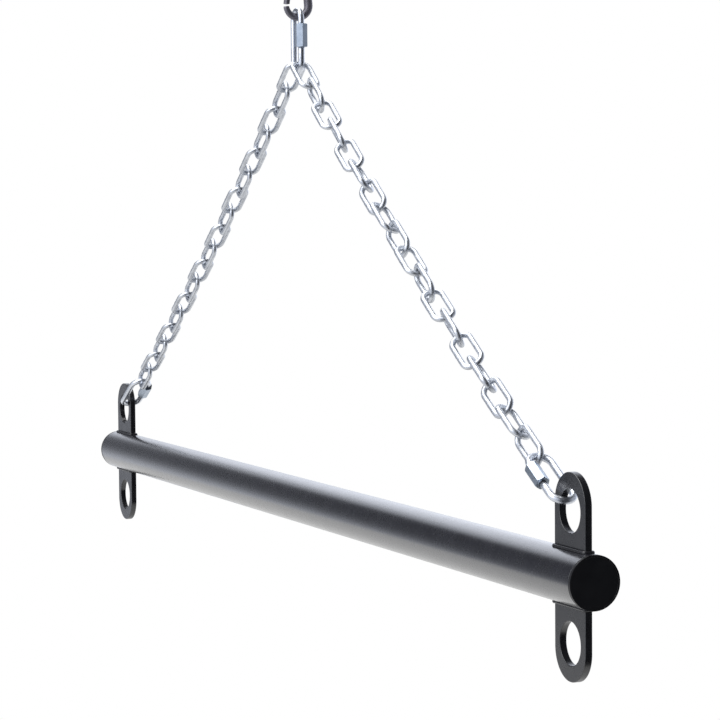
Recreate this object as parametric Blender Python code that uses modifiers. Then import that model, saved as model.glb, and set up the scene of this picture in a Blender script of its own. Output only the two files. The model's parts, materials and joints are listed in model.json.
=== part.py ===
"""A suspension bar: a steel tube with a lug plate near each end, hung by two chains from one snap hook.

Units are metres, +Z is up and +X runs along the bar to its right end. The origin is the point that the
snap hook hangs from: the inner top of its upper bow. The chain lengths decide how far below it the bar is.
"""

from math import asin, cos, pi, radians, sin, sqrt

import bmesh
import bpy
from mathutils import Matrix, Vector

# Fit between pieces that touch
gap = 0.0003

# Bar
bar_length = 1.2
tube_diameter = 0.0424
tube_wall = 0.0026
cap_flange = 0.003
cap_plug_length = 0.008
cap_rim_round = 0.0008

# Lug plates, one through the tube near each end, with a hole above and a hole below
lug_inset = 0.035
lug_width = 0.05
lug_height = 0.16
lug_thickness = 0.006
lug_neck_width = 0.044
hole_diameter = 0.034
hole_edge = 0.0125
weld_diameter = 0.0032

# Chains
chain_wire = 0.005
chain_pitch = 0.0334
chain_width = 0.022
chain_corner_radius = 0.0076
link_pairs_per_chain = 9
chain_sag = 0.012
right_chain_twist = pi

# Quick links
quick_wire = 0.006
quick_inner_width = 0.0134
quick_inner_length = 0.0525
quick_opening = 0.0055
nut_length = 0.022
nut_across_flats = 0.0105
nut_above_middle = 0.005
nut_cover = 0.0025
nut_chamfer = 0.0006
top_nut_turn = radians(-8)
left_nut_turn = radians(12)
right_nut_turn = radians(30)

# Snap hook
hook_wire = 0.007
hook_length = 0.07
hook_wide_width = 0.03
hook_narrow_width = 0.021
nose_below_bow_centre = 0.001
gate_opening = 0.0024
gate_thickness = 0.0044
gate_width = 0.0068
gate_wall = 0.0013
pivot_below_bow_centre = 0.009
pin_diameter = 0.002
tongue_thickness = 0.0034
tongue_radius = 0.0031
tongue_length = 0.005
tongue_end_width = 0.0063
spring_diameter = 0.0028
spring_wire = 0.0004
spring_turns = 6
spring_length = 0.012

# Facets that round pieces are made with
link_sides = 6
link_corner_steps = 3
quick_link_sides = 8
hook_sides = 10
bow_steps = 8
bore_sides = 16
plate_end_steps = 24
lug_hole_sides = 32
tube_sides = 48

# Values that follow from the sizes
links_per_chain = 2 * link_pairs_per_chain
tube_radius = tube_diameter / 2
tube_length = bar_length - 2 * cap_flange
lug_x = bar_length / 2 - lug_inset
hole_radius = hole_diameter / 2
hole_z = lug_height / 2 - hole_edge - hole_radius
link_inner_length = chain_pitch + gap
quick_inner_radius = quick_inner_width / 2
quick_mid_radius = quick_inner_radius + quick_wire / 2
hook_wide_radius = (hook_wide_width - hook_wire) / 2
hook_narrow_radius = (hook_narrow_width - hook_wire) / 2
hook_narrow_z = hook_wire / 2 - hook_narrow_radius
hook_seat_z = 2 * hook_wire - hook_length
hook_wide_z = hook_seat_z + hook_wide_radius - hook_wire / 2
top_link_top_z = hook_seat_z + gap
top_link_middle_z = top_link_top_z - quick_inner_length / 2
apex_crown_z = top_link_top_z - quick_inner_length + quick_inner_radius

for old in list(bpy.data.objects):
    bpy.data.objects.remove(old, do_unlink=True)

parts = bpy.data.collections.new("suspension_bar")
cutters = bpy.data.collections.new("cutters")
bpy.context.scene.collection.children.link(parts)
bpy.context.scene.collection.children.link(cutters)


def finish(name, colour, roughness, metallic):
    """A Principled material for one kind of piece."""
    material = bpy.data.materials.new(name)
    material.use_nodes = True
    shader = material.node_tree.nodes["Principled BSDF"]
    shader.inputs["Base Color"].default_value = (*colour, 1)
    shader.inputs["Roughness"].default_value = roughness
    shader.inputs["Metallic"].default_value = metallic
    return material


bar_coating = finish("bar_coating", (0.05, 0.05, 0.056), 0.45, 0.0)
lug_coating = finish("lug_coating", (0.055, 0.055, 0.06), 0.4, 0.0)
weld_coating = finish("weld_coating", (0.07, 0.07, 0.075), 0.35, 0.0)
cap_plastic = finish("cap_plastic", (0.02, 0.02, 0.022), 0.6, 0.0)
zinc_chain = finish("zinc_chain", (0.78, 0.8, 0.84), 0.25, 1.0)
zinc_quick_link = finish("zinc_quick_link", (0.8, 0.82, 0.86), 0.22, 1.0)
zinc_nut = finish("zinc_nut", (0.62, 0.67, 0.74), 0.3, 1.0)
dark_hook = finish("dark_hook", (0.1, 0.095, 0.11), 0.4, 0.8)
spring_steel = finish("spring_steel", (0.5, 0.5, 0.52), 0.3, 1.0)


def place(name, data, material, matrix=None, collection=parts):
    """A named object from mesh or curve data, at a place in the world."""
    data.materials.clear()
    data.materials.append(material)
    made = bpy.data.objects.new(name, data)
    made.matrix_world = matrix or Matrix()
    collection.objects.link(made)
    return made


def arc(centre, radius, start, end, steps):
    """Points of an arc in a plane, both ends included."""
    turn = (end - start) / steps
    return [
        (centre[0] + radius * cos(start + i * turn), centre[1] + radius * sin(start + i * turn))
        for i in range(steps + 1)
    ]


def wire(name, points, diameter, closed, sides):
    """A round wire along points, as curve data with filled ends."""
    data = bpy.data.curves.new(name, "CURVE")
    data.dimensions = "3D"
    data.bevel_depth = diameter / 2
    data.bevel_resolution = sides // 2 - 2
    data.use_fill_caps = True
    spline = data.splines.new("POLY")
    spline.points.add(len(points) - 1)
    for spline_point, co in zip(spline.points, points):
        spline_point.co = (*co, 1)
    spline.use_cyclic_u = closed
    spline.use_smooth = True
    return data


def solid_mesh(name, data):
    """The mesh of a curve, with its loose caps welded, so that a Boolean can use it."""
    holder = bpy.data.objects.new(name, data)
    cutters.objects.link(holder)
    graph = bpy.context.evaluated_depsgraph_get()
    mesh = bpy.data.meshes.new_from_object(holder.evaluated_get(graph))
    shape = bmesh.new()
    shape.from_mesh(mesh)
    bmesh.ops.remove_doubles(shape, verts=shape.verts, dist=0.000001)
    shape.to_mesh(mesh)
    shape.free()
    bpy.data.objects.remove(holder, do_unlink=True)
    return mesh


def cylinder(name, radius, length, sides, matrix=None):
    """A closed cylinder mesh along Z, centred, or moved by a matrix."""
    mesh = bpy.data.meshes.new(name)
    shape = bmesh.new()
    bmesh.ops.create_cone(
        shape,
        cap_ends=True,
        segments=sides,
        radius1=radius,
        radius2=radius,
        depth=length,
        matrix=matrix or Matrix(),
    )
    shape.to_mesh(mesh)
    shape.free()
    return mesh


def box(name, size, centre=(0, 0, 0)):
    """A closed box mesh of a size, centred on a point."""
    mesh = bpy.data.meshes.new(name)
    shape = bmesh.new()
    bmesh.ops.create_cube(
        shape, size=1, matrix=Matrix.Translation(centre) @ Matrix.Diagonal((*size, 1))
    )
    shape.to_mesh(mesh)
    shape.free()
    return mesh


def cut(target, name, mesh, matrix=None, operation="DIFFERENCE"):
    """Cuts a helper mesh out of an object, or joins it, with an exact Boolean."""
    helper = place(name, mesh, bar_coating, matrix, cutters)
    helper.hide_render = True
    helper.display_type = "WIRE"
    boolean = target.modifiers.new(name, "BOOLEAN")
    boolean.object = helper
    boolean.operation = operation
    boolean.solver = "EXACT"


def smooth_round(made, angle=35):
    """Shades a mesh smooth across its round faces and sharp at its edges."""
    made.data.shade_smooth()
    made.data.set_sharp_from_angle(angle=radians(angle))


def turned(name, profile, material, matrix):
    """A profile of (radius, height) points turned about Z, written down the outer side."""
    mesh = bpy.data.meshes.new(name)
    points = [(radius, 0, height) for radius, height in profile]
    mesh.from_pydata(points, [(i, i + 1) for i in range(len(points) - 1)], [])
    lathe = place(f"{name}_profile", mesh, material, collection=cutters)
    screw = lathe.modifiers.new("turn", "SCREW")
    screw.steps = tube_sides
    screw.render_steps = tube_sides
    screw.use_merge_vertices = True
    screw.merge_threshold = 0.00001
    graph = bpy.context.evaluated_depsgraph_get()
    made = place(name, bpy.data.meshes.new_from_object(lathe.evaluated_get(graph)), material, matrix)
    bpy.data.objects.remove(lathe, do_unlink=True)
    smooth_round(made)
    return made


def lug_seat(pull, bar_z):
    """Where the quick link's inner bottom lies in the right lug's upper hole, pulled along a direction."""
    crown_rise = quick_inner_radius - sqrt(quick_inner_radius**2 - (lug_thickness / 2) ** 2)
    reach = hole_radius - gap - crown_rise
    return Vector((lug_x, 0, bar_z + hole_z)) + reach * pull


def chain_points(bar_z):
    """Contact points of the right chain, from the apex to the lug, for a bar at this height.

    The chain hangs in a shallow parabola. The last value is how much too long the last gap is.
    """
    down = Vector((0.84, 0, -0.54)).normalized()
    pull = -down
    for _ in range(4):
        top = Vector((0, 0, apex_crown_z)) + quick_inner_radius * down
        bottom = lug_seat(pull, bar_z)
        points = [top]
        share = 0.0
        for _ in range(links_per_chain):
            share = next_share(top, bottom, points[-1], share, chain_pitch)
            points.append(hanging_point(top, bottom, share))
        down = (points[1] - points[0]).normalized()
        pull = (points[-1] - bottom).normalized()
    return points + [bottom], (bottom - points[-1]).length - quick_inner_length


def hanging_point(top, bottom, share):
    """A point of the sagging line between two ends, at a share of its span."""
    drop = 4 * chain_sag * share * (1 - share)
    return top.lerp(bottom, share) - Vector((0, 0, drop))


def next_share(top, bottom, last, share, length):
    """The share of the span that lies one length past the last point."""
    low = share
    high = share + 2 * length / (bottom - top).length
    for _ in range(40):
        middle = (low + high) / 2
        if (hanging_point(top, bottom, middle) - last).length < length:
            low = middle
        else:
            high = middle
    return (low + high) / 2


def solve_bar_height():
    """The bar's height at which the chain and its quick link just reach from the apex to the lug."""
    lowest = apex_crown_z - links_per_chain * chain_pitch
    highest = apex_crown_z - hole_z
    for _ in range(40):
        middle = (lowest + highest) / 2
        if chain_points(middle)[1] > 0:
            lowest = middle
        else:
            highest = middle
    return (lowest + highest) / 2


bar_z = solve_bar_height()
contacts = chain_points(bar_z)[0]
print("bar axis at z =", round(bar_z, 5), "m, lug contact", [round(v, 5) for v in contacts[-1]])


def link_matrix(upper, lower, turn):
    """A link's place between two contact points: its own Z points up along it, its own X across it."""
    along = (upper - lower).normalized()
    side = Vector((0, 1, 0))
    across = cos(turn) * side + sin(turn) * (-along).cross(side)
    axes = Matrix((across, along.cross(across), along)).transposed()
    return Matrix.Translation((upper + lower) / 2) @ axes.to_4x4()


def chain_link_outline():
    """The centre line of one chain link, a rectangle with round corners, in its own XZ plane."""
    half_width = (chain_width - chain_wire) / 2
    half_length = (link_inner_length + chain_wire) / 2
    radius = min(chain_corner_radius, half_width)
    points = []
    for start, x, z in ((0, 1, 1), (pi / 2, -1, 1), (pi, -1, -1), (3 * pi / 2, 1, -1)):
        centre = (x * (half_width - radius), z * (half_length - radius))
        points += arc(centre, radius, start, start + pi / 2, link_corner_steps)
    return [(x, 0, z) for x, z in points]


def make_chain(side, name):
    """One chain of links. Each is turned a quarter turn from the last, and the right chain twists too."""
    data = wire("chain_link", chain_link_outline(), chain_wire, True, link_sides)
    for i in range(links_per_chain):
        upper = Vector((side * contacts[i].x, 0, contacts[i].z))
        lower = Vector((side * contacts[i + 1].x, 0, contacts[i + 1].z))
        twist = right_chain_twist * i / links_per_chain if side > 0 else 0
        turn = (i % 2) * pi / 2 + twist
        place(f"{name}_link_{i + 1:02d}", data, zinc_chain, link_matrix(upper, lower, turn))


def quick_link_body(name):
    """An open C of round bar. Its gap lies on its own +X leg, above the middle, under the nut."""
    straight = quick_inner_length / 2 - quick_inner_radius
    gap_top = nut_above_middle + nut_length / 2 - nut_cover
    gap_bottom = gap_top - quick_opening
    points = [(quick_mid_radius, gap_top)]
    points += arc((0, straight), quick_mid_radius, 0, pi, bow_steps)
    points += arc((0, -straight), quick_mid_radius, pi, 2 * pi, bow_steps)
    points += [(quick_mid_radius, gap_bottom)]
    return wire(name, [(x, 0, z) for x, z in points], quick_wire, False, quick_link_sides)


def make_quick_link(name, matrix, nut_turn):
    """A quick link and its hexagon nut, which is screwed over the gap in the body."""
    place(f"{name}_body", quick_link_body(f"{name}_body"), zinc_quick_link, matrix)
    lift = Matrix.Translation((quick_mid_radius, 0, nut_above_middle))
    corner_radius = nut_across_flats / sqrt(3)
    screwed = Matrix.Rotation(pi / 6 + nut_turn, 4, "Z")
    hexagon = cylinder(f"{name}_nut", corner_radius, nut_length, 6, screwed)
    nut = place(f"{name}_nut", hexagon, zinc_nut, matrix @ lift)
    chamfer_ends(nut)
    bore = cylinder(f"{name}_bore", quick_wire / 2 + gap, nut_length + quick_wire, bore_sides)
    cut(nut, f"{name}_bore", bore, matrix @ lift)


def chamfer_ends(nut):
    """Cuts the hexagon's corners back to a cone at both ends, as on a turned nut."""
    bm = bmesh.new()
    bm.from_mesh(nut.data)
    rim = [e for e in bm.edges if abs(e.verts[0].co.z - e.verts[1].co.z) < nut_length / 4]
    bmesh.ops.bevel(bm, geom=rim, offset=nut_chamfer, segments=1, affect="EDGES", profile=0.5)
    bm.to_mesh(nut.data)
    bm.free()


def make_quick_links():
    """The top quick link hangs in the snap hook, and one at each lug ends a chain."""
    upright = Matrix.Translation((0, 0, top_link_middle_z))
    make_quick_link("top_quick_link", upright, top_nut_turn)
    upper, lower = contacts[-2], contacts[-1]
    right = link_matrix(upper, lower, right_chain_twist)
    make_quick_link("right_quick_link", right, right_nut_turn)
    mirrored = [Vector((-point.x, 0, point.z)) for point in (upper, lower)]
    make_quick_link("left_quick_link", link_matrix(*mirrored, 0), left_nut_turn)


def hook_tangent():
    """The lean of the hook's straight sides, which touch its wide and narrow bows."""
    return asin((hook_wide_radius - hook_narrow_radius) / (hook_narrow_z - hook_wide_z))


def gate_side_point(height):
    """A point of the hook's gate side, on the straight line between its bows, as (y, z)."""
    lean = hook_tangent()
    foot = (-hook_wide_radius * cos(lean), hook_wide_z + hook_wide_radius * sin(lean))
    return (foot[0] + (height - foot[1]) * sin(lean) / cos(lean), height)


def make_snap_hook():
    """The bent rod, from its nose round the wide bow, up the spine, over the narrow bow to the pivot."""
    lean = hook_tangent()
    nose_angle = pi + asin(nose_below_bow_centre / hook_wide_radius)
    wide = arc((0, hook_wide_z), hook_wide_radius, nose_angle, 2 * pi + lean, bow_steps + 4)
    narrow = arc((0, hook_narrow_z), hook_narrow_radius, lean, pi - lean, bow_steps)
    pivot = gate_side_point(hook_narrow_z - pivot_below_bow_centre)
    points = [(0, y, z) for y, z in wide + narrow + [pivot]]
    rod = solid_mesh("snap_hook_body", wire("snap_hook_rod", points, hook_wire, False, hook_sides))
    body = place("snap_hook_body", rod, dark_hook)
    smooth_round(body)
    across = Matrix.Translation((0, *pivot)) @ Matrix.Rotation(pi / 2, 4, "Y")
    boss = cylinder("tongue_end", tongue_radius, tongue_end_width, bore_sides, across)
    cut(body, "tongue_end", boss, operation="UNION")
    cheek = (hook_wire, hook_wire * 2, hook_wire * 2)
    for side, name in ((1, "right_cheek"), (-1, "left_cheek")):
        x = side * (tongue_thickness + hook_wire) / 2
        centre = (x, pivot[0], pivot[1] + tongue_length - hook_wire)
        cut(body, name, box(name, cheek, centre))
    hole = cylinder("pivot_hole", pin_diameter / 2 + gap, hook_wire * 2, bore_sides, across)
    cut(body, "pivot_hole", hole)
    make_gate(pivot, across)


def make_gate(pivot, across):
    """The gate is a folded channel that turns on a pin through the rod's flat tongue."""
    nose_z = hook_wide_z - nose_below_bow_centre
    foot = gate_side_point(nose_z + gate_opening)
    line = Vector((0, pivot[0] - foot[0], pivot[1] - foot[1]))
    length = line.length
    up = line.normalized()
    axes = Matrix((Vector((1, 0, 0)), up.cross(Vector((1, 0, 0))), up)).transposed()
    matrix = Matrix.Translation((0, *pivot)) @ axes.to_4x4()
    ear = gate_thickness / 2
    slab = box("snap_hook_gate", (gate_width, gate_thickness, length), (0, 0, -length / 2))
    gate = place("snap_hook_gate", slab, dark_hook, matrix)
    turn = Matrix.Rotation(pi / 2, 4, "Y")
    cut(gate, "gate_ear", cylinder("gate_ear", ear, gate_width, bore_sides, turn), matrix, "UNION")
    inside = gate_width - 2 * gate_wall
    room = length - gate_wall * 2
    channel_centre = (0, gate_wall, hook_wire / 2 - room / 2)
    channel = box("gate_channel", (inside, gate_thickness, room + hook_wire), channel_centre)
    cut(gate, "gate_channel", channel, matrix)
    swing = cylinder("tongue_swing", tongue_radius + gap, inside, bore_sides, turn)
    cut(gate, "tongue_swing", swing, matrix)
    hole = cylinder("gate_hole", pin_diameter / 2 + gap, gate_width * 2, bore_sides, turn)
    cut(gate, "gate_hole", hole, matrix)
    pin = cylinder("gate_pin", pin_diameter / 2, gate_width, bore_sides)
    smooth_round(place("gate_pin", pin, spring_steel, across))
    make_gate_spring(matrix)


def make_gate_spring(matrix):
    """A small coil in the gate's channel, which pushes the gate shut against the tongue."""
    radius = (spring_diameter - spring_wire) / 2
    top = -tongue_radius - gap - spring_wire
    steps = bow_steps * spring_turns
    points = []
    for i in range(steps + 1):
        angle = 2 * pi * i / bow_steps
        points.append((radius * cos(angle), radius * sin(angle), top - spring_length * i / steps))
    offset = Matrix.Translation((0, gate_wall / 2, 0))
    coil = wire("gate_spring", points, spring_wire, False, link_sides)
    place("gate_spring", coil, spring_steel, matrix @ offset)


def make_tube():
    """The bar's tube, with a slot above and below for each lug plate."""
    inner = tube_radius - tube_wall
    half = tube_length / 2
    profile = [(inner, half), (tube_radius, half), (tube_radius, -half), (inner, -half), (inner, half)]
    along_x = Matrix.Translation((0, 0, bar_z)) @ Matrix.Rotation(pi / 2, 4, "Y")
    tube = turned("bar_tube", profile, bar_coating, along_x)
    slot = (lug_neck_width + 2 * gap, lug_thickness + 2 * gap, tube_diameter + lug_width)
    for side, name in ((1, "right_slot"), (-1, "left_slot")):
        cut(tube, name, box(name, slot), Matrix.Translation((side * lug_x, 0, bar_z)))


def lug_outline():
    """The lug plate's edge: round ends, and a neck that passes through the tube's slots."""
    half = lug_width / 2
    neck = lug_neck_width / 2
    shoulder = tube_radius + gap
    centre = lug_height / 2 - half
    right = [(neck, -shoulder), (neck, shoulder), (half, shoulder)]
    top = arc((0, centre), half, 0, pi, plate_end_steps)
    left = [(-half, shoulder), (-neck, shoulder), (-neck, -shoulder), (-half, -shoulder)]
    bottom = arc((0, -centre), half, pi, 2 * pi, plate_end_steps)
    return right + top + left + bottom + [(half, -shoulder)]


def make_lug(side, name):
    """A flat steel plate with a hole above the tube and one below it."""
    data = bpy.data.curves.new(name, "CURVE")
    data.dimensions = "2D"
    data.fill_mode = "BOTH"
    data.extrude = lug_thickness / 2
    upper_hole = arc((0, hole_z), hole_radius, 0, 2 * pi, lug_hole_sides)[:-1]
    lower_hole = arc((0, -hole_z), hole_radius, 0, 2 * pi, lug_hole_sides)[:-1]
    for outline in (lug_outline(), upper_hole, lower_hole):
        spline = data.splines.new("POLY")
        spline.points.add(len(outline) - 1)
        for spline_point, (x, z) in zip(spline.points, outline):
            spline_point.co = (x, z, 0, 1)
        spline.use_cyclic_u = True
    upright = Matrix.Translation((side * lug_x, 0, bar_z)) @ Matrix.Rotation(pi / 2, 4, "X")
    place(name, data, lug_coating, upright)


def make_weld(side, level, name):
    """A weld bead round the foot of a lug plate, lying on the tube."""
    radius = weld_diameter / 2
    clear = radius + gap
    half_x = lug_width / 2
    half_y = lug_thickness / 2
    points = []
    for start, x, y in ((0, 1, 1), (pi / 2, -1, 1), (pi, -1, -1), (3 * pi / 2, 1, -1)):
        points += arc((x * half_x, y * half_y), clear, start, start + pi / 2, link_corner_steps)
    ring = []
    for x, y in points:
        ring.append((side * lug_x + x, y, bar_z + level * sqrt((tube_radius + clear) ** 2 - y**2)))
    place(name, wire(name, ring, weld_diameter, True, link_sides), weld_coating)


def make_cap(side, name):
    """A plastic end cap: a flange as wide as the tube, and a plug inside it."""
    plug = tube_radius - tube_wall - gap
    rim = tube_radius - cap_rim_round
    profile = [
        (0, cap_flange),
        (rim, cap_flange),
        (tube_radius, cap_flange - cap_rim_round),
        (tube_radius, gap),
        (plug, gap),
        (plug, -cap_plug_length),
        (0, -cap_plug_length),
    ]
    outward = Matrix.Rotation(side * pi / 2, 4, "Y")
    seat = Matrix.Translation((side * tube_length / 2, 0, bar_z)) @ outward
    turned(name, profile, cap_plastic, seat)


def make_bar():
    """The tube, its lug plates, their welds and the end caps."""
    make_tube()
    for side, name in ((1, "right"), (-1, "left")):
        make_lug(side, f"{name}_lug_plate")
        make_weld(side, 1, f"{name}_upper_weld")
        make_weld(side, -1, f"{name}_lower_weld")
        make_cap(side, f"{name}_end_cap")


make_snap_hook()
make_quick_links()
make_chain(1, "right")
make_chain(-1, "left")
make_bar()
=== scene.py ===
# %% [markdown]
# A suspension bar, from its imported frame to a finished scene
#
# The object is a steel tube, 1.2 m long, that hangs level from one snap hook on two chains. The frame is
# the CAD model: it says where every link, nut and plate is. This lesson keeps those places and makes each
# piece again with the finish of the real one: round wire, bright zinc, black powder coat, weld beads.

# %% Load the frame
import json
from math import asin, atan2, cos, pi, radians, sin, sqrt

import bmesh
import bpy
import numpy as np
from mathutils import Matrix, Vector


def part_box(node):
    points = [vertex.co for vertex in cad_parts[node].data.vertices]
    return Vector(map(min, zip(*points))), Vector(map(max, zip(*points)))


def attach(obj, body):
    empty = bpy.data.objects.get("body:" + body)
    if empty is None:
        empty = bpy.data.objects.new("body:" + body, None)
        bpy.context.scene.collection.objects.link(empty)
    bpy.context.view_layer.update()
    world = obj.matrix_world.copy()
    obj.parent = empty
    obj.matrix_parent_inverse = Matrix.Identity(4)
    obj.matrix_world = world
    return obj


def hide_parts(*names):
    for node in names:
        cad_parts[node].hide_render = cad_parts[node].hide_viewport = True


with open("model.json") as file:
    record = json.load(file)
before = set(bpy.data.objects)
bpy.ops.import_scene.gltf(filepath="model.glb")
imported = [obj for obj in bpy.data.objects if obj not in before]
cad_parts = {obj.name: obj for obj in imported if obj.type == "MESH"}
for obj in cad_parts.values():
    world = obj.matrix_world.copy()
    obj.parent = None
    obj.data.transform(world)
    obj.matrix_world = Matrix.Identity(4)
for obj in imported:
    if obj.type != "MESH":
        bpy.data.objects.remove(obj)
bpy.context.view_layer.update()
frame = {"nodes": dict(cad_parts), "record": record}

record = frame["record"]
body_of = {node: body for body, nodes in record["behaviour"]["bodies"].items() for node in nodes}
joint_of = {joint["child"]: joint for joint in record["behaviour"]["joints"]}

# %% [markdown]
# The camera
#
# The photo was taken from beyond the bar's right end, with a long lens, a little above the bar. The view
# could be set by eye, but a few degrees would show in the angle between the two chains. So it was fitted to
# the tube's end, the lug plates and the apex of the chains. A long lens keeps the two ends of the bar close
# in size, so the lens is set first and the camera stands where it then must.

# %% Camera
bar_low, bar_high = (Vector(corner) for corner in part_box("bar_tube"))
bar_axis = (bar_low + bar_high) / 2
camera_from_bar = Vector((2.226, -0.8655, 0.274))
camera_yaw = radians(67.38)
camera_pitch = radians(-3.32)
camera_roll = radians(-0.445)
camera_lens = 124.2
sensor_width = 36
far_end = 100

camera_data = bpy.data.cameras.new("camera")
camera_data.lens = camera_lens
camera_data.sensor_width = sensor_width
camera_data.clip_end = far_end
camera = bpy.data.objects.new("camera", camera_data)
bpy.context.scene.collection.objects.link(camera)
camera.matrix_world = (
    Matrix.Translation(bar_axis + camera_from_bar)
    @ Matrix.Rotation(camera_yaw, 4, "Z")
    @ Matrix.Rotation(pi / 2 + camera_pitch, 4, "X")
    @ Matrix.Rotation(camera_roll, 4, "Z")
)
bpy.context.scene.camera = camera
print("camera at", [round(v, 3) for v in camera.location])

# %% [markdown]
# Working by hand, in code
#
# By hand, a piece is picked, opened in edit mode, and a few of its faces are picked and changed. The same
# operators run from code. They act on all that is selected, so every step starts from an empty selection.
# Faces and edges could be picked by number, but numbers change with every cut, so a test of their place or
# normal picks them here.

# %% Pick, open and name
# A normal faces along an axis, or an edge runs along it, from this share on.
nearly = 0.9
# Two places are level when they are this close, in metres.
level_gap = 0.00001


def only(piece):
    """Makes one object the selected and active one."""
    bpy.ops.object.select_all(action="DESELECT")
    piece.select_set(True)
    bpy.context.view_layer.objects.active = piece


def edit(piece, mode="VERT"):
    """Opens a piece in edit mode with nothing selected."""
    only(piece)
    bpy.ops.object.mode_set(mode="EDIT")
    bpy.ops.mesh.select_mode(type=mode)
    bpy.ops.mesh.select_all(action="DESELECT")


def leave():
    """Goes back to object mode."""
    bpy.ops.object.mode_set(mode="OBJECT")


def pick(piece, test, kind="faces"):
    """Selects the faces, edges or vertices of an open piece that pass a test."""
    shape = bmesh.from_edit_mesh(piece.data)
    for element in getattr(shape, kind):
        if test(element):
            element.select_set(True)
    bmesh.update_edit_mesh(piece.data)


def settle(piece, matrix=None):
    """Moves a piece to its place and puts that place in its mesh."""
    only(piece)
    if matrix is not None:
        piece.matrix_world = matrix
    bpy.ops.object.transform_apply(location=True, rotation=True, scale=True)


def named(name):
    """Names the object that the last operator made."""
    piece = bpy.context.view_layer.objects.active
    piece.name = name
    piece.data.name = name
    return piece


print(len(bpy.context.selected_objects), "objects are still selected after loading")

# %% [markdown]
# The floor
#
# The photo is a product shot on white. A pale floor lies well below the bar, as when it hangs at the
# height of a jump. It could be lit until it turns white, but so much light would spoil the object. So its
# shader asks what has reached it. The camera finds plain white, a mirror finds a little less, and soft
# light finds a matt pale surface that keeps the shadow.

# %% Shader nodes
def node_kit(material):
    """The nodes and links of a material that starts with nothing but its Principled shader."""
    material.use_nodes = True
    nodes = material.node_tree.nodes
    return nodes, material.node_tree.links, nodes["Principled BSDF"], nodes["Material Output"]


def tune(node, values):
    """Sets the sockets of a node by their names."""
    for name, value in values.items():
        node.inputs[name].default_value = value


def math_node(nodes, links, kind, *terms):
    """A Math node whose terms are numbers or what other nodes give."""
    made = nodes.new("ShaderNodeMath")
    made.operation = kind
    for socket, term in zip(made.inputs, terms):
        if isinstance(term, float):
            socket.default_value = term
        else:
            links.new(term, socket)
    return made.outputs[0]


def mix_node(nodes, links, share, first, second):
    """The first shader where the share is 0, and the second where it is 1."""
    made = nodes.new("ShaderNodeMixShader")
    for socket, source in zip(made.inputs, (share, first, second)):
        links.new(source, socket)
    return made.outputs[0]


# %% Floor
floor_drop = 1.1
floor_size = 6
floor_edge = 1.4
floor_shine = 0.93
floor_skin = {"Base Color": (0.86, 0.86, 0.87, 1), "Roughness": 0.9, "Specular IOR Level": 0.1}
plain_white = (1, 1, 1, 1)


def white_to_camera(name):
    """A matt pale surface that the camera sees as plain white."""
    material = bpy.data.materials.new(name)
    nodes, links, shader, output = node_kit(material)
    tune(shader, floor_skin)
    rays = nodes.new("ShaderNodeLightPath").outputs
    seen = math_node(nodes, links, "MAXIMUM", rays["Is Camera Ray"], rays["Is Glossy Ray"])
    glow = nodes.new("ShaderNodeEmission")
    tune(glow, {"Color": plain_white})
    strength = math_node(nodes, links, "MULTIPLY_ADD", rays["Is Camera Ray"], 1 - floor_shine, floor_shine)
    links.new(strength, glow.inputs["Strength"])
    surface = mix_node(nodes, links, seen, shader.outputs[0], glow.outputs[0])
    links.new(surface, output.inputs["Surface"])
    return material


floor_z = bar_axis.z - floor_drop
bpy.ops.object.select_all(action="DESELECT")
bpy.ops.mesh.primitive_plane_add(size=floor_size, location=(floor_edge - floor_size / 2, 0, floor_z))
floor = named("floor")
floor.data.materials.append(white_to_camera("pale_floor"))
print("floor at", round(floor_z, 3))

# %% [markdown]
# The lamps
#
# A photographer lights such steel with soft boxes, which are so wide that they leave no hard shadow and no
# sharp glint. A sun or a spot lamp would be too hard, so two area lamps stand in for the boxes: one hangs
# above the bar, and one stands in front of it.

# %% Lamps
def soft_box(name, place, aim, size, power):
    """A wide lamp that shines on a point."""
    data = bpy.data.lights.new(name, "AREA")
    data.shape = "RECTANGLE"
    data.size, data.size_y = size
    data.energy = power
    lamp = bpy.data.objects.new(name, data)
    bpy.context.scene.collection.objects.link(lamp)
    direction = Vector(aim) - Vector(place)
    lamp.matrix_world = Matrix.Translation(place) @ direction.to_track_quat("-Z", "Y").to_matrix().to_4x4()
    return lamp


aim_point = bar_axis + Vector((0, 0, 0.2))
for name, offset, size, power in (
    ("top_box", (-0.4, -0.6, 3.0), (3.4, 2.4), 90),
    ("front_box", (0.6, -3.2, 1.6), (2.6, 2.0), 45),
):
    lamp = soft_box(name, bar_axis + Vector(offset), aim_point, size, power)
    print(lamp.name, "of", power, "W at", [round(v, 2) for v in lamp.location])

# %% [markdown]
# The room that the steel mirrors
#
# Zinc and satin coat show what stands round them, so the room shapes their look more than the lamps do. It
# could be built from walls and panels. A world that is shaded by direction does the same with less, and its
# edges are as soft as wanted: each part is bright where a ray leans towards that part. There is a soft box
# in front, a white cove beyond the bar that is dark overhead and in a gap halfway up, and a grey wall
# behind. They give wire its white middle and darker edges, and the tube its long bands. The camera itself
# sees only white.

# %% Parts of the room
world = bpy.data.worlds.new("room")
bpy.context.scene.world = world
world.use_nodes = True
room_nodes = world.node_tree.nodes
room_links = world.node_tree.links
looking = room_nodes.new("ShaderNodeTexCoord")


def room_part(direction, dark_at, bright_at, least=0.0, most=1.0):
    """How bright the room is, by how far a ray leans towards a direction."""
    lean = room_nodes.new("ShaderNodeVectorMath")
    lean.operation = "DOT_PRODUCT"
    lean.inputs[1].default_value = direction
    room_links.new(looking.outputs["Generated"], lean.inputs[0])
    shade = room_nodes.new("ShaderNodeMapRange")
    shade.interpolation_type = "SMOOTHSTEP"
    tune(shade, {"From Min": dark_at, "From Max": bright_at, "To Min": least, "To Max": most})
    room_links.new(lean.outputs["Value"], shade.inputs["Value"])
    return shade.outputs["Result"]


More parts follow.
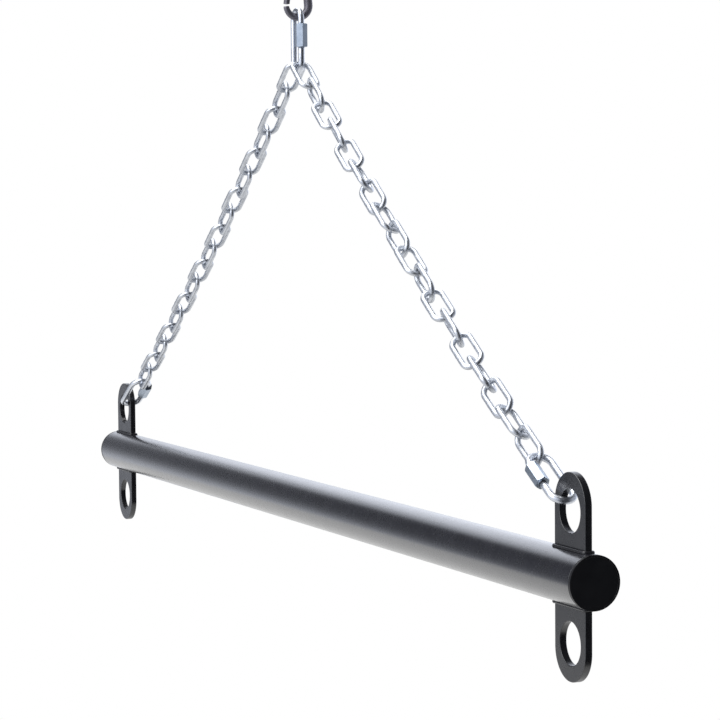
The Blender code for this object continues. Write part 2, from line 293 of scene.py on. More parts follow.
def join_parts(kind, first, second):
    """Two parts of the room as one."""
    return math_node(room_nodes, room_links, kind, first, second)


print("the room has", len(room_nodes), "nodes before its parts")

# %% Room
ahead = (-sin(camera_yaw), cos(camera_yaw), 0)
room_tint = (0.86, 0.9, 1, 1)
front = room_part((0.1, -0.95, 0.25), dark_at=0.36, bright_at=0.85, least=0.02)
beyond = room_part(ahead, dark_at=0.3, bright_at=0.7)
low_cove = room_part((0, 1, -1), dark_at=-0.52, bright_at=0, least=0.06)
high_cove = room_part((0, 1, 1.1), dark_at=0.19, bright_at=0.63, most=1.6)
not_overhead = room_part((0, 0, -1), dark_at=-0.8, bright_at=-0.5)
grey_wall = room_part((0, 1, 0), dark_at=0.45, bright_at=0.9, most=0.5)
cove = join_parts("MULTIPLY", join_parts("MAXIMUM", low_cove, high_cove), not_overhead)
white_parts = join_parts("MAXIMUM", front, join_parts("MULTIPLY", beyond, cove))

room = room_nodes["Background"]
tune(room, {"Color": room_tint})
room_links.new(join_parts("MAXIMUM", white_parts, grey_wall), room.inputs["Strength"])
backdrop = room_nodes.new("ShaderNodeBackground")
tune(backdrop, {"Color": plain_white, "Strength": 1})
camera_ray = room_nodes.new("ShaderNodeLightPath").outputs["Is Camera Ray"]
surround = mix_node(room_nodes, room_links, camera_ray, room.outputs[0], backdrop.outputs[0])
room_links.new(surround, room_nodes["World Output"].inputs["Surface"])
bpy.context.scene.view_settings.view_transform = "Standard"
print("the room has", len(room_nodes), "nodes with them")

# %% [markdown]
# What the finishes share
#
# No real finish is the same all over, but its changes are small. A photo of the surface could show them,
# yet it would repeat on so many pieces. Noise on Object coordinates needs no picture. It is in metres, so a
# scale of 1000 makes grains of about a millimetre. A ramp turns it into a colour or a roughness, and a bump
# lets it raise the skin.

# %% Noise, ramp and bump
ramp_places = (0.3, 0.7)


def noise(nodes, links, coordinates, scale, detail, roughness=0.55):
    """A noise texture on object coordinates."""
    texture = nodes.new("ShaderNodeTexNoise")
    tune(texture, {"Scale": scale, "Detail": detail, "Roughness": roughness})
    links.new(coordinates.outputs["Object"], texture.inputs["Vector"])
    return texture.outputs["Fac"]


def ramp(nodes, links, value, low, high):
    """Turns a noise value into a colour or a grey between two ends."""
    made = nodes.new("ShaderNodeValToRGB")
    for element, place, end in zip(made.color_ramp.elements, ramp_places, (low, high)):
        element.position = place
        element.color = (*end, 1) if isinstance(end, tuple) else (end, end, end, 1)
    links.new(value, made.inputs["Fac"])
    return made.outputs["Color"]


def bump(nodes, links, shader, value, depth, strength):
    """Raises the surface by a value."""
    made = nodes.new("ShaderNodeBump")
    tune(made, {"Distance": depth, "Strength": strength})
    links.new(value, made.inputs["Height"])
    links.new(made.outputs["Normal"], shader.inputs["Normal"])


# %% [markdown]
# Bright zinc
#
# The chains, quick links and nuts are steel with a thin coat of zinc from a bath. It is a metal with a cold
# tint, clouded where the bath worked unevenly, and tumbled a little dull. One grey with one roughness would
# look like chrome, so clouds change its colour and a finer haze its roughness. The nuts are darker and
# bluer than the wire, and the hook's pin is plainer steel.

# %% Zinc
def zinc(name, dark, light, rough):
    """Bright zinc plate over steel wire: clouded, faintly blue, with a fine tumbled skin."""
    material = bpy.data.materials.new(name)
    nodes, links, shader, _ = node_kit(material)
    coordinates = nodes.new("ShaderNodeTexCoord")
    tune(shader, {"Metallic": 1.0})
    cloud = noise(nodes, links, coordinates, scale=140, detail=4)
    links.new(ramp(nodes, links, cloud, dark, light), shader.inputs["Base Color"])
    haze = noise(nodes, links, coordinates, scale=420, detail=3)
    links.new(ramp(nodes, links, haze, *rough), shader.inputs["Roughness"])
    skin = noise(nodes, links, coordinates, scale=260, detail=2)
    bump(nodes, links, shader, skin, depth=0.00002, strength=0.12)
    return material


chain_zinc = zinc("chain_zinc", (0.52, 0.545, 0.59), (0.73, 0.755, 0.79), rough=(0.34, 0.46))
link_zinc = zinc("quick_link_zinc", (0.58, 0.61, 0.67), (0.8, 0.83, 0.88), rough=(0.28, 0.4))
nut_zinc = zinc("nut_zinc", (0.35, 0.41, 0.49), (0.47, 0.53, 0.61), rough=(0.26, 0.4))
pin_steel = zinc("pin_steel", (0.4, 0.41, 0.43), (0.6, 0.61, 0.63), rough=(0.24, 0.36))
for finish in (chain_zinc, link_zinc, nut_zinc, pin_steel):
    print(finish.name, "has", len(finish.node_tree.nodes), "nodes")

# %% [markdown]
# Powder coat and plastic
#
# The tube and the plates are sprayed with black powder that melts in an oven. It dries satin, with the fine
# dimples of an orange's skin, here a noise of about a millimetre that raises the surface by a few
# hundredths. A plain black would lose the dimples and the faint dull patches. The tube is the glossiest, so
# it has a clear coat over it. The caps are matt plastic with a finer grain, and the hook's dark grey coat
# has some metal in it.

# %% Coats
gloss_rough = 0.22


def coat(name, dark, light, rough, peel=1300, depth=0.00004, index=1.5, gloss=0.0, metal=0.0):
    """Powder coat or plastic: dark, with orange peel and faint dull patches."""
    material = bpy.data.materials.new(name)
    nodes, links, shader, _ = node_kit(material)
    coordinates = nodes.new("ShaderNodeTexCoord")
    tune(shader, {"IOR": index, "Coat Weight": gloss, "Coat Roughness": gloss_rough, "Metallic": metal})
    patch = noise(nodes, links, coordinates, scale=35, detail=5)
    links.new(ramp(nodes, links, patch, dark, light), shader.inputs["Base Color"])
    dull = noise(nodes, links, coordinates, scale=90, detail=4)
    links.new(ramp(nodes, links, dull, *rough), shader.inputs["Roughness"])
    skin = noise(nodes, links, coordinates, scale=peel, detail=2, roughness=0.4)
    bump(nodes, links, shader, skin, depth=depth, strength=0.8)
    return material


bar_coat = coat(
    "bar_coat",
    dark=(0.005, 0.005, 0.0085),
    light=(0.008, 0.008, 0.013),
    rough=(0.24, 0.29),
    depth=0.00003,
    index=1.9,
    gloss=0.8,
)
lug_coat = coat(
    "lug_coat",
    dark=(0.006, 0.006, 0.008),
    light=(0.01, 0.01, 0.0125),
    rough=(0.24, 0.32),
    peel=1500,
    index=1.75,
)
weld_coat = coat(
    "weld_coat",
    dark=(0.014, 0.014, 0.016),
    light=(0.022, 0.022, 0.025),
    rough=(0.22, 0.32),
    peel=1100,
)
cap_black = coat(
    "cap_black",
    dark=(0.001, 0.001, 0.002),
    light=(0.002, 0.002, 0.004),
    rough=(0.4, 0.5),
    peel=2600,
    depth=0.00002,
)
hook_coat = coat(
    "hook_coat",
    dark=(0.14, 0.134, 0.155),
    light=(0.21, 0.2, 0.23),
    rough=(0.34, 0.46),
    peel=1600,
    metal=0.5,
)
for finish in (bar_coat, lug_coat, weld_coat, cap_black, hook_coat):
    print(finish.name, "has", len(finish.node_tree.nodes), "nodes")

# %% [markdown]
# Bending wire
#
# Links, hooks and springs start as round wire that is bent over a former. A curve with a round bevel could
# show that, but rings for a thread, a weld or a taper are hard to place on it. So a wire is an open ring
# that is pulled along a straight and swung round a corner, and each of these leaves rows of faces behind.

# %% Pull, swing and swell
# Points that are closer than this are merged, in metres.
same_point = 0.000002


def wire_end(name, centre, radius, sides, turn=(0, 0, 0)):
    """Starts a wire with an open ring, in edit mode, ready to be pulled."""
    bpy.ops.object.select_all(action="DESELECT")
    bpy.ops.mesh.primitive_circle_add(vertices=sides, radius=radius, location=centre, rotation=turn)
    piece = named(name)
    bpy.ops.object.transform_apply(location=True, rotation=True, scale=True)
    bpy.ops.object.mode_set(mode="EDIT")
    bpy.ops.mesh.select_mode(type="EDGE")
    bpy.ops.mesh.select_all(action="SELECT")
    return piece


def pull(step, steps=1):
    """Extrudes the selected ring by a vector, in equal steps."""
    share = Vector(step) / steps
    for _ in range(steps):
        bpy.ops.mesh.extrude_region_move(TRANSFORM_OT_translate={"value": share})


def swing(centre, axis, angle, steps):
    """Swings the selected ring round a corner, right-handed about the axis."""
    bpy.ops.mesh.spin(steps=steps, angle=-angle, center=centre, axis=axis, use_auto_merge=False)


def ring_middle():
    """The middle of the selected ring."""
    shape = bmesh.from_edit_mesh(bpy.context.active_object.data)
    ring = [v.co for v in shape.verts if v.select]
    return sum(ring, Vector()) / len(ring)


def swell(factor):
    """Grows or shrinks the selected ring about its own middle."""
    bpy.ops.transform.resize(value=(factor, factor, factor), center_override=ring_middle())


def close_wire(open_ends):
    """Joins the wire's last ring to its first, or fills its two ends, and turns its faces outwards."""
    bpy.ops.mesh.select_all(action="SELECT")
    bpy.ops.mesh.remove_doubles(threshold=same_point)
    if open_ends:
        bpy.ops.mesh.fill_holes(sides=0)
    bpy.ops.mesh.select_all(action="SELECT")
    bpy.ops.mesh.normals_make_consistent(inside=False)
    leave()


# %% [markdown]
# One chain link
#
# A link is 5 mm wire, cut, bent to a long ring and butt welded in the middle of one side. It could be a
# torus pulled long, but a real link has straight sides, tight corners and a short flat crown. So a ring
# is pulled and swung round four corners, and closed where it began. The weld leaves a low swelling, so the
# side that has it gets more rows of faces.

# %% Chain link
wire_radius = 0.0025
wire_sides = 22
link_width = 0.022
corner_radius = 0.0076
fit_gap = 0.0003
corner_steps = 8
straight_steps = 2
weld_side_steps = 12
upper_end = Vector(joint_of["left_link_02"]["pos_m"])
lower_end = Vector(joint_of["left_link_03"]["pos_m"])
link_pitch = (upper_end - lower_end).length
half_width = link_width / 2 - wire_radius
half_length = (link_pitch + fit_gap) / 2 + wire_radius
corner_x = half_width - corner_radius
corner_z = half_length - corner_radius


def chain_link():
    """The pattern for every link, in the XZ plane about the origin."""
    piece = wire_end("link_pattern", (half_width, 0, -corner_z), wire_radius, wire_sides)
    pull((0, 0, 2 * corner_z), weld_side_steps)
    for x, z, run in (
        (1, 1, (-2 * corner_x, 0, 0)),
        (-1, 1, (0, 0, -2 * corner_z)),
        (-1, -1, (2 * corner_x, 0, 0)),
    ):
        swing((x * corner_x, 0, z * corner_z), (0, 1, 0), -pi / 2, corner_steps)
        pull(run, straight_steps)
    swing((corner_x, 0, -corner_z), (0, 1, 0), -pi / 2, corner_steps)
    close_wire(open_ends=False)
    return piece


link_pattern = chain_link()
print("link pattern", len(link_pattern.data.polygons), "faces, pitch", round(link_pitch * 1000, 2), "mm")

# %% Weld of the link
weld_half = 0.0012
weld_swell = 1.07
edit(link_pattern)
pick(link_pattern, lambda v: v.co.x > 0 and abs(v.co.z) < weld_half, "verts")
bpy.ops.transform.resize(value=(weld_swell, weld_swell, 1), center_override=(half_width, 0, 0))
leave()
only(link_pattern)
bpy.ops.object.shade_smooth()
print("the weld is", round(2 * wire_radius * weld_swell * 1000, 2), "mm thick")

# %% [markdown]
# Two chains of links
#
# Each chain has 18 links, and every second one is turned on edge. They could be placed by counting along a
# line, but the chains sag and one is twisted, and the frame already holds each link's place and turn. A
# link is long, wide and thin, so the three main directions of its CAD solid are its axes, and they come
# straight from the spread of its points. Each link is a copy of the pattern, turned so that its weld never
# faces +Y, behind the bar.

# %% Axes of a solid
def axes_of(node):
    """The middle of a CAD solid and its long, wide and thin directions."""
    mesh = frame["nodes"][node].data
    points = np.empty(len(mesh.vertices) * 3)
    mesh.vertices.foreach_get("co", points)
    points = points.reshape(-1, 3)
    middle = (points.min(axis=0) + points.max(axis=0)) / 2
    _, _, directions = np.linalg.svd(points - points.mean(axis=0), full_matrices=False)
    return Vector(middle), [Vector(direction).normalized() for direction in directions]


def matrix_of(middle, along, across):
    """A place whose Z is along a piece and whose X is across it."""
    side = across - across.dot(along) * along
    side.normalize()
    axes = Matrix((side, along.cross(side), along)).transposed()
    return Matrix.Translation(middle) @ axes.to_4x4()


link_nodes = sorted(node for node in body_of if "_link_" in node and "quick" not in node)
print(len(link_nodes), "links, the first at", [round(v, 3) for v in axes_of(link_nodes[0])[0]])

# %% Place the links
def copy_of(piece, name, matrix):
    """A copy with its own mesh, moved in the mesh by a matrix."""
    made = piece.copy()
    made.data = piece.data.copy()
    made.name = made.data.name = name
    bpy.context.scene.collection.objects.link(made)
    settle(made, matrix)
    return made


def dress(piece, node, material):
    """Gives a piece its finish, its body and the CAD node that it stands for."""
    piece.data.materials.clear()
    piece.data.materials.append(material)
    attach(piece, body_of[node])
    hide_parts(node)


for node in link_nodes:
    middle, (along, across, _) = axes_of(node)
    if along.z < 0:
        along = -along
    if across.y > 0:
        across = -across
    link = copy_of(link_pattern, f"{node}_wire", matrix_of(middle, along, across))
    dress(link, node, chain_zinc)
bpy.data.objects.remove(link_pattern, do_unlink=True)
print(len(link_nodes), "links placed")

# %% [markdown]
# Quick links
#
# A quick link is an open C of 6 mm bar with a thread on both ends of the gap. The C is bent like a chain
# link, but it starts and ends under the nut. The thread could be a bump in the finish, but its outline
# shows when the nut is screwed back, so it is made of rings that are shrunk and swelled in turn.

# %% Quick link sizes
quick_radius = 0.003
quick_sides = 28
quick_inner_width = 0.0134
quick_mid = quick_inner_width / 2 + quick_radius
top_low, top_high = (Vector(corner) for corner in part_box("top_quick_link_body"))
nut_low, nut_high = (Vector(corner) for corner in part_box("top_quick_link_nut"))
top_middle = (top_high + top_low) / 2
quick_straight = (top_high.z - top_low.z) / 2 - quick_mid - quick_radius
nut_top = nut_high.z - top_middle.z
nut_foot = nut_low.z - top_middle.z
nut_cover = 0.0025
quick_opening = 0.0055
crown_steps = 24
back_steps = 6
end_size = 0.85
end_chamfer = 0.0004
print("the gap is", quick_opening * 1000, "mm, under a nut of", round((nut_top - nut_foot) * 1000, 1), "mm")

# %% Quick link body
thread_pitch = 0.001
thread_root = 0.9
flank_share = 0.35
root_share = 0.3


def thread(length):
    """Pulls the ring up along a thread, each turn a groove and a crest."""
    for _ in range(int(length / thread_pitch)):
        pull((0, 0, thread_pitch * flank_share))
        swell(thread_root)
        pull((0, 0, thread_pitch * root_share))
        pull((0, 0, thread_pitch * flank_share))
        swell(1 / thread_root)


def quick_link():
    """The C, from the upper end of the gap round both crowns to its lower end."""
    gap_top = nut_top - nut_cover
    gap_bottom = gap_top - quick_opening
    piece = wire_end("quick_pattern", (quick_mid, 0, gap_top), quick_radius * end_size, quick_sides)
    pull((0, 0, end_chamfer))
    swell(1 / end_size)
    thread(nut_cover - end_chamfer)
    pull((0, 0, quick_straight - nut_top), straight_steps)
    swing((0, 0, quick_straight), (0, 1, 0), -pi, crown_steps)
    pull((0, 0, -2 * quick_straight), back_steps)
    swing((0, 0, -quick_straight), (0, 1, 0), -pi, crown_steps)
    pull((0, 0, nut_foot + quick_straight), straight_steps)
    thread(gap_bottom - nut_foot - end_chamfer)
    pull((0, 0, end_chamfer))
    swell(end_size)
    close_wire(open_ends=True)
    return piece


quick_pattern = quick_link()
only(quick_pattern)
bpy.ops.object.shade_smooth_by_angle(angle=radians(50))
print("quick link", len(quick_pattern.data.polygons), "faces")

# %% [markdown]
# Cutting and rounding
#
# Nuts, plates, tube and gate are cut from bar, plate and sheet. Holes could be left out of the mesh face by
# face, but a cutter that is taken away is what a drill or a mill does, and stays easy to change. No edge of
# the real pieces is sharp. A narrow bevel rounds them, and the large faces then keep their own normals, so
# that they mirror the room as flat or as evenly curved as they are.

# %% Cutters, bars and soft edges
# A cutter that is this many times as long as its piece is thick comes out on both sides.
through = 3


def apply_modifier(piece, kind, **settings):
    """Adds a modifier with its settings and applies it."""
    only(piece)
    modifier = piece.modifiers.new(kind.lower(), kind)
    for key, value in settings.items():
        setattr(modifier, key, value)
    bpy.ops.object.modifier_apply(modifier=modifier.name)


def boolean(piece, tool, operation="DIFFERENCE"):
    """Cuts, joins or intersects a piece with a tool, and removes the tool."""
    apply_modifier(piece, "BOOLEAN", object=tool, operation=operation, solver="EXACT")
    bpy.data.objects.remove(tool, do_unlink=True)


def soften(piece, width, segments=2, angle=40):
    """Rounds the edges sharper than an angle, and shades the rest smooth."""
    limit = radians(angle)
    apply_modifier(
        piece, "BEVEL", width=width, segments=segments, limit_method="ANGLE", angle_limit=limit
    )
    only(piece)
    bpy.ops.object.shade_smooth_by_angle(angle=limit)
    apply_modifier(piece, "WEIGHTED_NORMAL", keep_sharp=True)


def round_bar(name, radius, length, at=(0, 0, 0), sides=48, turn=(0, pi / 2, 0)):
    """A round bar at a place, along X unless it is turned another way."""
    bpy.ops.object.select_all(action="DESELECT")
    bpy.ops.mesh.primitive_cylinder_add(
        vertices=sides, radius=radius, depth=length, location=at, rotation=turn
    )
    piece = named(name)
    settle(piece)
    return piece


def block(name, size, at):
    """A plain block at a place."""
    bpy.ops.object.select_all(action="DESELECT")
    bpy.ops.mesh.primitive_cube_add(size=1, location=at)
    piece = named(name)
    piece.scale = size
    settle(piece)
    return piece


# %% [markdown]
# Nuts
#
# The nut is a long hexagon bar, drilled and threaded, with its corners turned back at both ends. A bevel
# along the end edges would take the same off the flats as off the corners. A lathe only takes the corners,
# so the hexagon is kept where it lies inside a bevelled round.

# %% Quick link nut
nut_flats = 0.0105
nut_bore = 0.0033
nut_chamfer = 0.0006
nut_edge = 0.00012
nut_length = nut_high.z - nut_low.z
turned_over = 1.005
turned_sides = 72
drill_over = 1.5


def hexagon_nut():
    """The nut about its own middle, with two flats facing along X."""
    corner = nut_flats / sqrt(3)
    piece = round_bar("nut_pattern", corner, nut_length, sides=6, turn=(0, 0, pi / 6))
    turned = round_bar("turned_round", corner * turned_over, nut_length, sides=turned_sides, turn=(0, 0, 0))
    edit(turned, "EDGE")
    pick(turned, lambda e: abs(e.verts[0].co.z - e.verts[1].co.z) < level_gap, "edges")
    bpy.ops.mesh.bevel(offset=nut_chamfer, segments=1)
    leave()
    boolean(piece, turned, "INTERSECT")
    boolean(piece, round_bar("drill", nut_bore, nut_length * drill_over, turn=(0, 0, 0)))
    soften(piece, nut_edge, angle=25)
    return piece


nut_pattern = hexagon_nut()
print("nut", len(nut_pattern.data.polygons), "faces")

# %% [markdown]
# Three quick links in place
#
# One quick link joins the hook to both chains, and one joins each chain to a lug plate. The spread of
# points would give their axes, as for the chain links, but not the side that the gap is on. So the lower
# two lie along the axis that their joints turn about, each with its nut where the frame has it, and the top
# one hangs upright.

# %% Place the quick links
nut_turn = {"top": radians(-8), "left": radians(12), "right": radians(30)}
nut_offset = Vector((quick_mid, 0, (nut_low.z + nut_high.z) / 2 - top_middle.z))
quick_places = {"top": matrix_of(top_middle, Vector((0, 0, 1)), Vector((1, 0, 0)))}
for side in ("left", "right"):
    joint = joint_of[f"{side}_quick_link"]
    along = Vector(joint["axis"])
    middle = Vector(joint["pos_m"])
    nut_box = [Vector(corner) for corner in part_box(f"{side}_quick_link_nut")]
    towards_nut = (nut_box[0] + nut_box[1]) / 2 - middle
    quick_places[side] = matrix_of(middle, along, towards_nut)
for side, place in quick_places.items():
    bar = copy_of(quick_pattern, f"{side}_quick_link_bar", place)
    dress(bar, f"{side}_quick_link_body", link_zinc)
    nut_place = place @ Matrix.Translation(nut_offset) @ Matrix.Rotation(nut_turn[side], 4, "Z")
    nut = copy_of(nut_pattern, f"{side}_quick_link_hexagon", nut_place)
    dress(nut, f"{side}_quick_link_nut", nut_zinc)
    print(side, "quick link at", [round(v, 3) for v in place.translation])
for pattern in (quick_pattern, nut_pattern):
    bpy.data.objects.remove(pattern, do_unlink=True)

# %% [markdown]
# The tube
#
# The bar is a round steel tube with a slot above and below at each end, where the lug plates pass. It could
# be two cylinders, one taken from the other. Here a cylinder's two flat ends are inset by the wall and
# taken away, and the rims are bridged, which leaves the same wall with cleaner rings. The slots are cut
# through both walls, beside extra rings that keep the long faces even. A small bevel rounds every edge,
# because powder coat pulls away from sharp ones.

# %% Tube
tube_radius = (bar_high.z - bar_low.z) / 2
tube_sides = 128
tube_wall = 0.0026
tube_edge = 0.0004
lug_neck = 0.044
lug_thickness = 0.006
slot_clearance = 0.0003
ring_off = 0.001
lug_box = {side: [Vector(corner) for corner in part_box(f"{side}_lug_plate")] for side in ("left", "right")}
lug_middle = {side: (low + high) / 2 for side, (low, high) in lug_box.items()}
slot_size = (lug_neck + 2 * slot_clearance, lug_thickness + 2 * slot_clearance, through * tube_radius)


def bar_tube():
    """The tube along X, with four slots."""
    piece = round_bar("tube_shell", tube_radius, bar_high.x - bar_low.x, bar_axis, tube_sides)
    edit(piece, "FACE")
    pick(piece, lambda f: abs(f.normal.x) > nearly)
    bpy.ops.mesh.inset(thickness=tube_wall)
    bpy.ops.mesh.delete(type="FACE")
    bpy.ops.mesh.select_mode(type="EDGE")
    bpy.ops.mesh.select_all(action="DESELECT")
    bpy.ops.mesh.select_non_manifold()
    bpy.ops.mesh.bridge_edge_loops()
    for middle in lug_middle.values():
        for off in (-slot_size[0] / 2 - ring_off, slot_size[0] / 2 + ring_off):
            bpy.ops.mesh.select_all(action="SELECT")
            bpy.ops.mesh.bisect(plane_co=(middle.x + off, 0, 0), plane_no=(1, 0, 0))
    bpy.ops.mesh.select_all(action="SELECT")
    bpy.ops.mesh.normals_make_consistent(inside=False)
    leave()
    for middle in lug_middle.values():
        boolean(piece, block("slot", slot_size, (middle.x, 0, bar_axis.z)))
    soften(piece, tube_edge, angle=50)
    return piece


tube = bar_tube()
dress(tube, "bar_tube", bar_coat)
print("tube", len(tube.data.polygons), "faces")

# %% [markdown]
# Lug plates
#
# Each plate is cut from 6 mm flat bar. It could be an outline that is filled and thickened, but a slab
# whose four corner edges are rounded until both ends are half circles keeps its sizes plain. Two holes are
# drilled and a neck is milled that passes through the tube. The last bevel is the soft edge of the coat.

# %% Lug plates
hole_radius = 0.017
hole_height = 0.0505
hole_sides = 96
end_flat = 0.0001
end_steps = 28
plate_edge = 0.0006


def lug_plate(side):
    """A lug plate about its place in the tube."""
    low, high = lug_box[side]
    middle = lug_middle[side]
    size = high - low
    piece = block(f"{side}_lug_steel", size, middle)
    edit(piece, "EDGE")
    pick(piece, lambda e: abs((e.verts[0].co - e.verts[1].co).y) > nearly * size.y, "edges")
    bpy.ops.mesh.bevel(offset=size.x / 2 - end_flat, segments=end_steps)
    leave()
    for height in (hole_height, -hole_height):
        at = middle + Vector((0, 0, height))
        drill = round_bar("drill", hole_radius, through * size.y, at, hole_sides, (pi / 2, 0, 0))
        boolean(piece, drill)
    notch_size = (size.x - lug_neck, through * size.y, 2 * (tube_radius + slot_clearance))
    for edge in (-1, 1):
        boolean(piece, block("notch", notch_size, middle + Vector((edge * size.x / 2, 0, 0))))
    soften(piece, plate_edge, segments=3)
    dress(piece, f"{side}_lug_plate", lug_coat)
    return piece


for side in ("left", "right"):
    lug = lug_plate(side)
    print(lug.name, len(lug.data.polygons), "faces")

# %% [markdown]
# Weld beads
#
# A fillet weld runs round the foot of each plate. A bump on the plate could hint at it, but a bead shows as
# a soft step against the white. A round end is pulled along the plate's sides and swung round its corners,
# and every other ring is shrunk a little, which gives the run its ripples. Then the whole ring is set on
# the tube, so low that its long sides meet the tube where it falls away.

# %% Weld beads
bead_radius = 0.0016
bead_sides = 14
bead_corner = 0.0016
bead_corner_steps = 4
bead_inset = 0.0006
bead_off = 0.0009
bead_sink = 0.0003
ripple = 0.0013
ripple_depth = 0.82


def ripples(step):
    """Pulls the bead along in ripples."""
    run = Vector(step)
    count = max(2, int(run.length / ripple) // 2 * 2)
    for i in range(count):
        pull(run / count)
        swell(ripple_depth if i % 2 == 0 else 1 / ripple_depth)


def weld_bead(side, level):
    """A bead round a plate's foot, above or below the tube."""
    middle = lug_middle[side]
    half_x = (lug_box[side][1].x - lug_box[side][0].x) / 2 - bead_inset
    half_y = lug_thickness / 2 + bead_off
    run_x = half_x + bead_off - bead_corner
    run_y = half_y - bead_corner
    name = f"{side}_{'upper' if level > 0 else 'lower'}"
    piece = wire_end(f"{name}_bead", (-run_x, -half_y, 0), bead_radius, bead_sides, (0, pi / 2, 0))
    for x, y, step in (
        (1, -1, (2 * run_x, 0, 0)),
        (1, 1, (0, 2 * run_y, 0)),
        (-1, 1, (-2 * run_x, 0, 0)),
        (-1, -1, (0, -2 * run_y, 0)),
    ):
        ripples(step)
        swing((x * run_x, y * run_y, 0), (0, 0, 1), pi / 2, bead_corner_steps)
    close_wire(open_ends=False)
    rise = sqrt((tube_radius + bead_off - bead_sink) ** 2 - half_y**2)
    foot = Matrix.Translation((middle.x, 0, bar_axis.z + level * rise))
    settle(piece, foot @ Matrix.Rotation(0 if level > 0 else pi, 4, "X"))
    only(piece)
    bpy.ops.object.shade_smooth()
    dress(piece, f"{name}_weld", weld_coat)
    return piece


for side in ("left", "right"):
    for level in (1, -1):
        bead = weld_bead(side, level)
        print(bead.name, len(bead.data.polygons), "faces")

# %% [markdown]
# End caps
#
# A moulding closes each end: a flange as wide as the tube, with a shallow dish in its face, and a narrower
# plug behind it that grips the bore. Flange and plug could be two rounds, but then a seam is left between
# them. So the cap starts as one round, and both its faces are inset and moved.

# %% End caps
rim_width = 0.0016
dish_depth = 0.00025
dish_edge = 0.0006
cap_edge = 0.0005


def end_cap(side):
    """A cap made from one round, inset and pushed into the tube."""
    sign = 1 if side == "right" else -1
    low, high = (Vector(corner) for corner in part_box(f"{side}_end_cap"))
    face_x = high.x if sign > 0 else low.x
    seat_x = bar_axis.x + sign * ((bar_high.x - bar_low.x) / 2 + slot_clearance)
    flange = abs(face_x - seat_x)
    middle = ((face_x + seat_x) / 2, 0, bar_axis.z)
    piece = round_bar(f"{side}_cap_moulding", tube_radius, flange, middle, tube_sides)
    plug = -sign * (high.x - low.x - flange)
    edit(piece, "FACE")
    pick(piece, lambda f: f.normal.x * sign < -nearly)
    bpy.ops.mesh.inset(thickness=tube_wall + 2 * slot_clearance)
    bpy.ops.mesh.extrude_region_move(TRANSFORM_OT_translate={"value": (plug, 0, 0)})
    bpy.ops.mesh.select_all(action="DESELECT")
    pick(piece, lambda f: f.normal.x * sign > nearly)
    bpy.ops.mesh.inset(thickness=rim_width)
    bpy.ops.mesh.extrude_region_move(TRANSFORM_OT_translate={"value": (-sign * dish_depth, 0, 0)})
    bpy.ops.mesh.inset(thickness=dish_edge)
    leave()
    soften(piece, cap_edge, segments=3, angle=30)
    dress(piece, f"{side}_end_cap", cap_black)
    return piece


for side in ("left", "right"):
    cap = end_cap(side)
    print(cap.name, len(cap.data.polygons), "faces")

# %% [markdown]
# The snap hook
#
# The hook is a rod that is bent round a wide bow, up a straight spine and over a narrow bow, and thicker
# along the spine than at the nose. It ends in a flat tongue that the gate turns on. A curve with a radius
# per point could taper too, but the ring is swung a little at a time here and grown at each step, so that
# the bows stay true circles. Then the tongue's round eye is joined on, its cheeks are cut flat, and the
# pin's hole is drilled.

# %% Hook sizes
hook_low, hook_high = (Vector(corner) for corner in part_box("snap_hook_body"))
pivot = Vector(joint_of["gate"]["pos_m"])
rod = 0.0035
rod_sides = 36
wide_bow = hook_high.y - rod
narrow_bow = 0.007
wide_z = hook_low.z + rod + wide_bow
narrow_z = hook_high.z - rod - narrow_bow
lean = asin((wide_bow - narrow_bow) / (narrow_z - wide_z))
nose_drop = 0.001
nose_size = 0.0028
nose_round = 0.86
nose_turn = 0.05
spine_size = 0.0042
bow_steps = 28
spine_steps = 10
top_steps = 20
tongue_steps = 5
print("the spine leans by", round(lean * 180 / pi, 1), "degrees")

# %% Hook rod
def thicken(start, end, step, steps):
    """Grows the ring from one size towards another, by one step of several."""
    before = start + (end - start) * (step / steps)
    after = start + (end - start) * ((step + 1) / steps)
    swell(after / before)


def hook_rod():
    """The bent rod, from the nose to the end that becomes the tongue."""
    nose_angle = asin(nose_drop / wide_bow)
    nose = (0, -wide_bow * cos(nose_angle), wide_z - nose_drop)
    piece = wire_end("hook_rod", nose, nose_size * nose_round, rod_sides, (nose_angle, 0, 0))
    swing((0, 0, wide_z), (1, 0, 0), nose_turn, 1)
    swell(1 / nose_round)
    turn = (pi - nose_angle + lean - nose_turn) / bow_steps
    for i in range(bow_steps):
        swing((0, 0, wide_z), (1, 0, 0), turn, 1)
        thicken(nose_size, spine_size, i, bow_steps)
    spine = sqrt((narrow_z - wide_z) ** 2 - (wide_bow - narrow_bow) ** 2)
    run = Vector((0, -sin(lean), cos(lean))) * spine
    for i in range(spine_steps):
        pull(run / spine_steps)
        thicken(spine_size, rod, i, spine_steps)
    swing((0, 0, narrow_z), (1, 0, 0), pi - 2 * lean, top_steps)
    pull(pivot - ring_middle(), tongue_steps)
    close_wire(open_ends=True)
    return piece


hook = hook_rod()
print("hook rod", len(hook.data.polygons), "faces")

# %% Hook tongue
tongue_half = 0.0017
tongue_round = 0.0031
tongue_length = 0.005
eye_width = 1.8 * rod
cheek_size = (2 * rod, 4 * rod, 4 * rod)
pin_radius = 0.001
hook_edge = 0.0003

boolean(hook, round_bar("tongue_end", tongue_round, eye_width, pivot), "UNION")
for side in (-1, 1):
    cheek_at = pivot + Vector((side * (tongue_half + rod), 0, tongue_length - 2 * rod))
    boolean(hook, block("cheek", cheek_size, cheek_at))
boolean(hook, round_bar("drill", pin_radius + slot_clearance, 4 * rod, pivot))
soften(hook, hook_edge, angle=45)
dress(hook, "snap_hook_body", hook_coat)
print("hook with its tongue", len(hook.data.polygons), "faces")

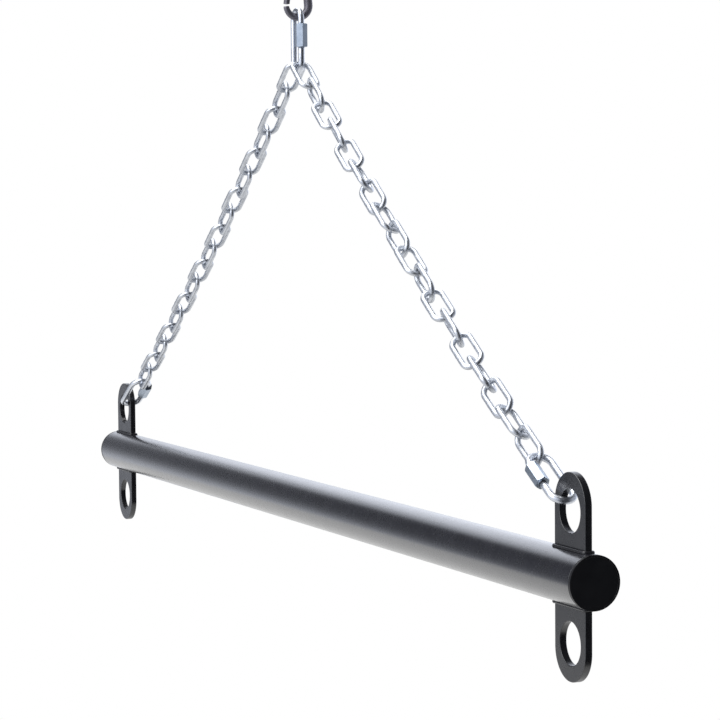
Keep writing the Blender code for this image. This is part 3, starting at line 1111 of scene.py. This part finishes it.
# %% [markdown]
# The gate
#
# The gate is pressed from sheet: a channel that is open to the inside of the hook, with ears round the
# tongue. It could be a strip that is folded and thickened, but a block needs only one join to get its round
# ears. So it is bevelled along its back, joined to a round at the pivot, hollowed, and drilled. The pin is
# riveted over at both ends, which a bevel shows.

# %% Gate
gate_low, gate_high = (Vector(corner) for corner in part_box("snap_hook_gate"))
gate_width = gate_high.x - gate_low.x
gate_depth = 0.0044
gate_sheet = 0.0013
gate_fold = 0.002
gate_fold_steps = 8
gate_edge = 0.00025
gate_run = Vector((0, pivot.y, pivot.z)) - Vector((0, -wide_bow, gate_low.z))
gate_length = gate_run.length
gate_place = Matrix.Translation(pivot) @ Matrix.Rotation(-atan2(gate_run.y, gate_run.z), 4, "X")


def back_edge(edge):
    """Whether an edge runs down the closed back of the gate."""
    first, second = (v.co for v in edge.verts)
    return first.y < 0 and second.y < 0 and abs(first.x - second.x) < level_gap


def gate_channel():
    """The gate about its pivot, hanging down, open towards +Y."""
    piece = block("gate_sheet", (gate_width, gate_depth, gate_length), (0, 0, -gate_length / 2))
    edit(piece, "EDGE")
    pick(piece, back_edge, "edges")
    bpy.ops.mesh.bevel(offset=gate_fold, segments=gate_fold_steps)
    leave()
    boolean(piece, round_bar("ear", gate_depth / 2, gate_width), "UNION")
    inside = gate_width - 2 * gate_sheet
    room = gate_length - 2 * gate_sheet
    hollow = block("hollow", (inside, gate_depth, room + 2 * rod), (0, gate_sheet, rod - room / 2))
    boolean(piece, hollow)
    boolean(piece, round_bar("tongue_swing", tongue_round + slot_clearance, inside))
    boolean(piece, round_bar("drill", pin_radius + slot_clearance, 2 * gate_width))
    soften(piece, gate_edge)
    settle(piece, gate_place)
    return piece


gate = gate_channel()
dress(gate, "snap_hook_gate", hook_coat)

# %% Gate pin
pin_rest = 0.0004
pin_sides = 40
pin_edge = 0.0003
pin = round_bar("gate_pin_steel", pin_radius, gate_width - pin_rest, pivot, pin_sides)
soften(pin, pin_edge, segments=3)
dress(pin, "gate_pin", pin_steel)
print("pin", len(pin.data.polygons), "faces")

# %% [markdown]
# The spring
#
# A small coil in the channel pushes the gate shut. A screw modifier on a circle makes such a coil too. The
# ring is swung and lowered step by step instead, as every other wire here, so that the same helpers close
# it and turn its faces outwards.

# %% Spring
spring_wire = 0.0002
spring_radius = 0.0012
spring_turns = 6
spring_length = 0.012
spring_sides = 10
turn_steps = 16


def gate_coil():
    """A small open coil in the gate's channel."""
    top = -tongue_round - slot_clearance - 2 * spring_wire
    piece = wire_end("gate_coil", (spring_radius, 0, top), spring_wire, spring_sides, (pi / 2, 0, 0))
    for _ in range(spring_turns * turn_steps):
        swing((0, 0, 0), (0, 0, 1), 2 * pi / turn_steps, 1)
        bpy.ops.transform.translate(value=(0, 0, -spring_length / spring_turns / turn_steps))
    close_wire(open_ends=True)
    only(piece)
    bpy.ops.object.shade_smooth_by_angle(angle=radians(60))
    settle(piece, gate_place @ Matrix.Translation((0, gate_sheet / 2, 0)))
    return piece


coil = gate_coil()
dress(coil, "gate_spring", pin_steel)
print("coil", len(coil.data.polygons), "faces")
